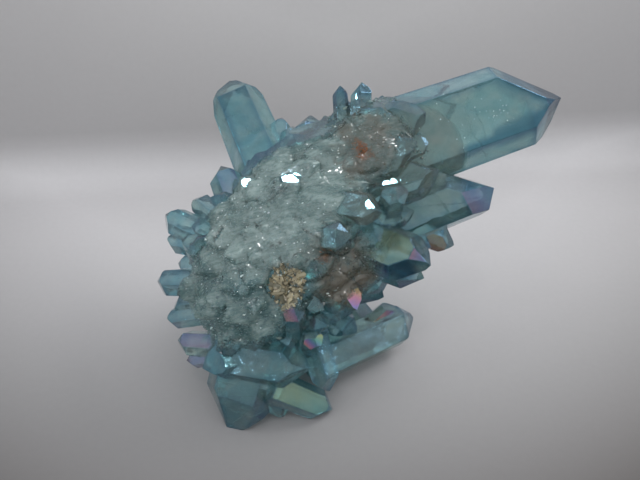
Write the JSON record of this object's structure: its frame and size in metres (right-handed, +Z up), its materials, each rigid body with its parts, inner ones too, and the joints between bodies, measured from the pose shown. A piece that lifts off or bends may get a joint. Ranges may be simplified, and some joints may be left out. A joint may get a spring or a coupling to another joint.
{
  "type": "aqua aura quartz crystal cluster",
  "caption": "Natural cluster of aqua aura quartz: clear points under a sea-blue iridescent film, grown from a frosted sugary mass.",
  "frame": {"origin": "middle of the footprint, on the resting surface", "axes": "+Z up as it rests, +X along its longest extent towards the main point, +Y away from the frosted face"},
  "size_m": [0.0658, 0.0472, 0.0489],
  "materials": {
    "aqua_aura_quartz": "glassy quartz under a thin sea-blue metal film that plays violet, gold and green on some faces; frosted and grey-green over the core"
  },
  "bodies": {
    "root": {"crystal_cluster": "aqua_aura_quartz"}
  },
  "joints": []
}
